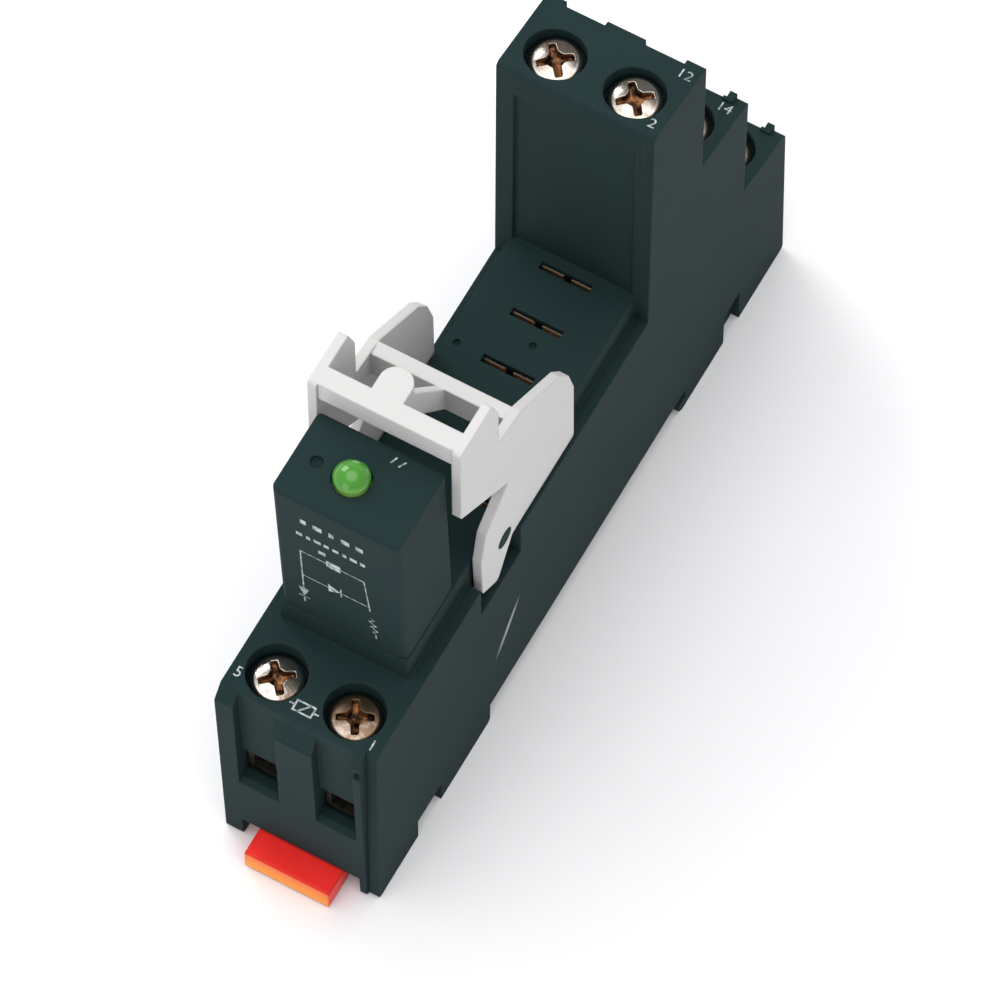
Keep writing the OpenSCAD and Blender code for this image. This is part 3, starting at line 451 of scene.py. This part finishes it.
# Glass cloth under green solder mask: smooth and half glossy, with a faint weave of 1.1 mm that shows through.
WEAVE = 1.1
laminate, tree, out = new_material("solder-masked glass laminate")
weave = add(tree, "ShaderNodeTexWave", {"Scale": scale_for(WEAVE), "Distortion": 1.5},
            {"Vector": add(tree, "ShaderNodeTexCoord").outputs["Object"]})
mask = add(tree, "ShaderNodeMix", {"data_type": "RGBA", "A": linear("#1d5a38"), "B": linear("#2c7a4c")},
           {"Factor": weave.outputs["Fac"]})
shade = add(tree, "ShaderNodeBsdfPrincipled", {"Roughness": 0.3}, {"Base Color": mask.outputs["Result"]})
tree.links.new(shade.outputs[0], out.inputs["Surface"])
finish_nodes(laminate, "module_board")


# ---- Retaining clip ----
# One white polyamide moulding of two side plates, two bars and a finger tab, hinged on the platform's pins.
# The plastic is unfilled and its mould is finer, so that it is smoother than the housing.

# White polyamide: milky, with a soft gloss, because light sinks a little way in before it comes back.
white_polyamide = moulded("moulded white polyamide", ("#c6c5c4", "#d0cfce", "#dcdbda"),
                          roughness=0.42, gloss=0.5, grain_depth=0.008, glow=0.08)
finish_nodes(white_polyamide, "retaining_clip")


# ---- Rail latch ----
# A slide of red-orange acetal, held out by a steel spring; its thumb piece stands out below the near face.
# It is moulded in a smooth mould, and its corners are rounder than the housing's.

# Acetal: waxy, with a low gloss. The upright near face of the thumb piece is painted yellower than the top, most of
# all low down: painted light that stands in for light coming through the plastic.
ACETAL_CLOUD, ACETAL_ROUND, ACETAL_DEPTH = 4, 0.55, 0.008
GLOW_LOW, GLOW_HIGH = 0.3, 2.7
acetal, tree, out = new_material("moulded red-orange acetal")
coordinates = add(tree, "ShaderNodeTexCoord")
outward = add(tree, "ShaderNodeVectorMath", {"operation": "DOT_PRODUCT", 1: (0, -1, 0)},
              {0: coordinates.outputs["Normal"]})
leaving = add(tree, "ShaderNodeMapRange", {"From Min": 0.3, "From Max": 0.9}, {"Value": outward.outputs["Value"]})
rise = add(tree, "ShaderNodeSeparateXYZ", {}, {0: coordinates.outputs["Object"]}).outputs["Z"]
lit = add(tree, "ShaderNodeMapRange", {"From Min": GLOW_LOW * MM, "From Max": GLOW_HIGH * MM}, {"Value": rise})
# Painted glow: yellow-orange on faces turned to the near side, yellowest low down.
painted_near_glow = add(tree, "ShaderNodeMix", {"data_type": "RGBA", "A": linear("#ffa31c"), "B": linear("#f26420")},
                {"Factor": lit.outputs[0]})
cloud = add(tree, "ShaderNodeTexNoise", {"Scale": scale_for(ACETAL_CLOUD), "Detail": 4.0},
            {"Vector": coordinates.outputs["Object"]})
red = add(tree, "ShaderNodeMix", {"data_type": "RGBA", "A": linear("#f52623"), "B": linear("#fa322a")},
          {"Factor": cloud.outputs["Fac"]})
tone = add(tree, "ShaderNodeMix", {"data_type": "RGBA"},
           {"Factor": leaving.outputs[0], "A": red.outputs["Result"], "B": painted_near_glow.outputs["Result"]})
round_face = add(tree, "ShaderNodeBevel", {"samples": 4, "Radius": ACETAL_ROUND * MM}).outputs["Normal"]
bump = add(tree, "ShaderNodeBump", {"Strength": 0.25, "Distance": ACETAL_DEPTH * MM},
           {"Height": cloud.outputs["Fac"], "Normal": round_face})
shade = add(tree, "ShaderNodeBsdfPrincipled", {"Roughness": 0.42, "IOR": 1.48, "Specular IOR Level": 0.4},
            {"Base Color": tone.outputs["Result"], "Normal": bump.outputs[0]})
tree.links.new(shade.outputs[0], out.inputs["Surface"])
finish_nodes(acetal, "rail_latch")


# ---- Terminal screws ----
# Nickel-plated steel screws with a domed head and a cross recess, turned and then tumbled in a barrel.
# The plating's tone changes a little from screw to screw, and the cross recess is painted darker, as painted shade.

HEAD_RADIUS, HEAD_DEPTH, HEAD_ROUND, HEAD_DOME = 2.45, 1.55, 0.6, 0.45
UNDERCUT, RIM_LIFT = 0.06, 0.08
SHANK_RADIUS, END_BEVEL, END_RISE = 1.45, 0.25, 0.3
FIRST_RING, LAST_RING = 0.05, 0.02
ARM_HALF, ARM_REACH, ARM_DEPTH = 0.42, 1.7, 1.0
ARM_TAPER, ARM_WALL, ARM_END_WALL, FLOOR_RISE = 0.06, 0.1, 0.18, 0.32
FILLET_LIMIT, FILLET_SPAN, FILLET_WALL = 0.86, 1.35, 0.2
# Faces deeper than this in the cross recess take the darker recess material: painted shade.
SHADE_PAINTED_DEPTH = 0.12
SECTORS, FACE_RINGS, ROUND_RINGS = 160, 48, 8
USED_TURN, USUAL_TURN = 28, 40
PLACES = [row + side for row in ("coil_", "upper_", "middle_", "lower_") for side in ("left", "right")]

# Tumbled nickel: a warm mirror with soft dents of 1.4 mm, and browner, duller patches where it has aged. All within
# 5 mm of the right-hand coil screw's middle is made a little browner and duller.
DENT, AGED_PATCH, DENT_DEPTH = 1.4, 9, 0.05
DULL_WHOLE, DULL_EDGE, DULL_MORE = 5, 8, 0.1
nickel, tree, out = new_material("tumbled nickel plate")
place = add(tree, "ShaderNodeTexCoord").outputs["Object"]
tumbled = add(tree, "ShaderNodeTexNoise", {"Scale": scale_for(DENT), "Detail": 5.0, "Roughness": 0.65},
              {"Vector": place})
batch = add(tree, "ShaderNodeTexNoise", {"Scale": scale_for(AGED_PATCH), "Detail": 1.0}, {"Vector": place})
dull = add(tree, "ShaderNodeMath", {"operation": "MULTIPLY"}, {0: tumbled.outputs["Fac"], 1: batch.outputs["Fac"]})
dull_screw_middle = ((sum(corners_of("screw_coil_right")) / 2) * MM).tolist()
from_dull_screw = add(tree, "ShaderNodeVectorMath", {"operation": "DISTANCE", 1: dull_screw_middle}, {0: place})
near_dull_screw = add(tree, "ShaderNodeMapRange",
              {"From Min": DULL_WHOLE * MM, "From Max": DULL_EDGE * MM, "To Min": DULL_MORE, "To Max": 0.0},
              {"Value": from_dull_screw.outputs["Value"]})
duller = add(tree, "ShaderNodeMath", {"operation": "ADD"}, {0: dull.outputs[0], 1: near_dull_screw.outputs[0]})
older = add(tree, "ShaderNodeMapRange", {"From Min": 0.17, "From Max": 0.38}, {"Value": duller.outputs[0]})
tone = add(tree, "ShaderNodeMix", {"data_type": "RGBA", "A": linear("#fff8ee"), "B": linear("#a1846a")},
           {"Factor": older.outputs[0]})
rough = add(tree, "ShaderNodeMapRange", {"To Min": 0.14, "To Max": 0.36}, {"Value": older.outputs[0]})
bump = add(tree, "ShaderNodeBump", {"Strength": 0.5, "Distance": DENT_DEPTH * MM},
           {"Height": tumbled.outputs["Fac"]})
shade = add(tree, "ShaderNodeBsdfPrincipled", {"Metallic": 1.0},
            {"Base Color": tone.outputs["Result"], "Roughness": rough.outputs[0], "Normal": bump.outputs[0]})
tree.links.new(shade.outputs[0], out.inputs["Surface"])

# Recess: copper-brown metal between nearly black patches 0.8 mm across, painted as the shade inside the cross
# recess.
SHADE_PATCH = 0.8
shade_painted, tree, out = new_material("oiled screw recess")
place = add(tree, "ShaderNodeTexCoord").outputs["Object"]
shade_patches = add(tree, "ShaderNodeTexNoise", {"Scale": scale_for(SHADE_PATCH), "Detail": 4.0}, {"Vector": place})
pooled = add(tree, "ShaderNodeMapRange", {"From Min": 0.36, "From Max": 0.58}, {"Value": shade_patches.outputs["Fac"]})
tone = add(tree, "ShaderNodeMix", {"data_type": "RGBA", "A": linear("#a8714a"), "B": linear("#20130b")},
           {"Factor": pooled.outputs[0]})
shade = add(tree, "ShaderNodeBsdfPrincipled", {"Metallic": 0.8, "Roughness": 0.35},
            {"Base Color": tone.outputs["Result"]})
tree.links.new(shade.outputs[0], out.inputs["Surface"])


def screw_surface(middle, top, bottom, turn):
    """A screw as rings of points from the head's middle out to its rim, in to the shank and down to its end.

    Height on the head = -dome * (r / radius)^2 - recess. The recess falls steeply where a point lies inside
    either arm of the cross, |v| < half width - taper * |u| and |u| < reach, or inside the fillet between them,
    (|u| + |v|) / span < limit. Its depth = arm depth - rise * r, so that it gets shallower towards the ends.
    Returns the points, the faces, and for each face whether it lies in the recess.
    """
    angle = np.linspace(0, 2 * np.pi, SECTORS, endpoint=False)
    flat_r = HEAD_RADIUS - HEAD_ROUND
    face_r = np.linspace(FIRST_RING, flat_r, FACE_RINGS)
    face_z = -HEAD_DOME * (face_r / HEAD_RADIUS) ** 2
    roll = np.linspace(0, np.pi / 2, ROUND_RINGS)[1:]
    rim_r = flat_r + HEAD_ROUND * np.sin(roll)
    rim_z = face_z[-1] - HEAD_ROUND * (1 - np.cos(roll))
    end = bottom - top
    rest_r = np.array([HEAD_RADIUS, HEAD_RADIUS - UNDERCUT, SHANK_RADIUS, SHANK_RADIUS, SHANK_RADIUS - END_BEVEL,
                       LAST_RING])
    rest_z = np.array([RIM_LIFT - HEAD_DEPTH, -HEAD_DEPTH, -HEAD_DEPTH, end + END_RISE, end, end])
    r = np.concatenate([face_r, rim_r, rest_r])[:, None]
    z = np.concatenate([face_z, rim_z, rest_z])[:, None]
    x, y = r * np.cos(angle), r * np.sin(angle)
    u, v = np.abs(np.cos(turn) * x + np.sin(turn) * y), np.abs(np.cos(turn) * y - np.sin(turn) * x)
    arms = [np.clip((ARM_HALF - ARM_TAPER * a - b) / ARM_WALL, 0, 1)
            * np.clip((ARM_REACH - a) / ARM_END_WALL, 0, 1) for a, b in ((u, v), (v, u))]
    fillet = np.clip((FILLET_LIMIT - (u + v) / FILLET_SPAN) / FILLET_WALL, 0, 1)
    slope = ARM_DEPTH - FLOOR_RISE * r
    recess = np.where(r <= flat_r, np.maximum(np.maximum(*arms), fillet) * slope, 0)
    points = np.stack([x + middle[0], y + middle[1], z - recess + top], -1).reshape(-1, 3)
    ring, sector = np.meshgrid(np.arange(len(r) - 1), np.arange(SECTORS), indexing="ij")
    after = (sector + 1) % SECTORS
    quads = np.stack([(ring + 1) * SECTORS + sector, (ring + 1) * SECTORS + after,
                      ring * SECTORS + after, ring * SECTORS + sector], -1).reshape(-1, 4)
    deep = recess.ravel()[quads].mean(axis=1) > SHADE_PAINTED_DEPTH
    faces = quads.tolist() + [list(range(SECTORS)), [(len(r) - 1) * SECTORS + k for k in range(SECTORS)][::-1]]
    return points, faces, np.append(deep, [True, False])


for name in PLACES:
    low, high = corners_of("screw_" + name)
    turn = np.radians(USED_TURN if name == "coil_right" else USUAL_TURN)
    points, faces, deep = screw_surface((low + high)[:2] / 2, high[2], low[2], turn)
    screw = add_piece("screw_body_" + name, points, faces, nickel)
    # Faces deep in the cross recess take the second material, which is painted shade.
    screw.data.materials.append(shade_painted)
    screw.data.polygons.foreach_set("material_index", deep.astype(int))
    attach(screw, "screw_" + name)
    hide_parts("screw_" + name)


# ---- Wire cages and latch spring ----
# Cages bent from thick strip, zinc-plated and passivated; each climbs its screw and clamps the wire from below.
# The latch's spring is wound from hard drawn wire with the same plating.

# Passivated zinc: a warm grey with half a shine, in patches of 0.7 mm, painted dark so that it stands in for the
# shade inside the wire channels.
SPANGLE = 0.7
zinc, tree, out = new_material("passivated zinc plate")
place = add(tree, "ShaderNodeTexCoord").outputs["Object"]
spangle = add(tree, "ShaderNodeTexVoronoi", {"Scale": scale_for(SPANGLE)}, {"Vector": place})
# Painted shade: both greys are darker than zinc plate.
tone = add(tree, "ShaderNodeMix", {"data_type": "RGBA", "A": linear("#4d4a44"), "B": linear("#736f67")},
           {"Factor": spangle.outputs["Distance"]})
rough = add(tree, "ShaderNodeMapRange", {"To Min": 0.34, "To Max": 0.5}, {"Value": spangle.outputs["Distance"]})
shade = add(tree, "ShaderNodeBsdfPrincipled", {"Metallic": 1.0},
            {"Base Color": tone.outputs["Result"], "Roughness": rough.outputs[0]})
tree.links.new(shade.outputs[0], out.inputs["Surface"])
finish_nodes(zinc, "latch_spring", *("cage_" + name for name in PLACES))


# ---- Contact strips and blades ----
# Strips of rolled brass run from the cages to the slots, where pairs of leaves grip the relay's blades.
# They are punched across the rolled sheet, so that the fine lines that rolling leaves lie crosswise on them.

# Rolled brass: pale gold, half matt, with lines of lighter and duller metal. Real lines are finer than the
# 0.25 mm drawn here and would not show.
ROLL_LENGTH, ROLL_WIDTH = 3.3, 0.25
brass, tree, out = new_material("rolled brass strip")
place = add(tree, "ShaderNodeTexCoord").outputs["Object"]
stretched = add(tree, "ShaderNodeMapping",
                {"Scale": (scale_for(ROLL_LENGTH), scale_for(ROLL_WIDTH), scale_for(ROLL_LENGTH))},
                {"Vector": place})
rolled = add(tree, "ShaderNodeTexNoise", {"Scale": 1.0, "Detail": 3.0}, {"Vector": stretched.outputs[0]})
tone = add(tree, "ShaderNodeMix", {"data_type": "RGBA", "A": linear("#dcb98a"), "B": linear("#fff0d6")},
           {"Factor": rolled.outputs["Fac"]})
rough = add(tree, "ShaderNodeMapRange", {"To Min": 0.36, "To Max": 0.55}, {"Value": rolled.outputs["Fac"]})
shade = add(tree, "ShaderNodeBsdfPrincipled", {"Metallic": 1.0},
            {"Base Color": tone.outputs["Result"], "Roughness": rough.outputs[0]})
tree.links.new(shade.outputs[0], out.inputs["Surface"])
finish_nodes(brass, "coil_strip_left", "coil_strip_right", "contact_strip_upper", "contact_strip_middle",
             "contact_strip_lower", "module_blade_left", "module_blade_right")


# ---- Sizes ----
# The view transform is set to Standard, and the dressed model's box is measured.

bpy.context.scene.view_settings.view_transform = "Standard"
low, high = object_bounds()
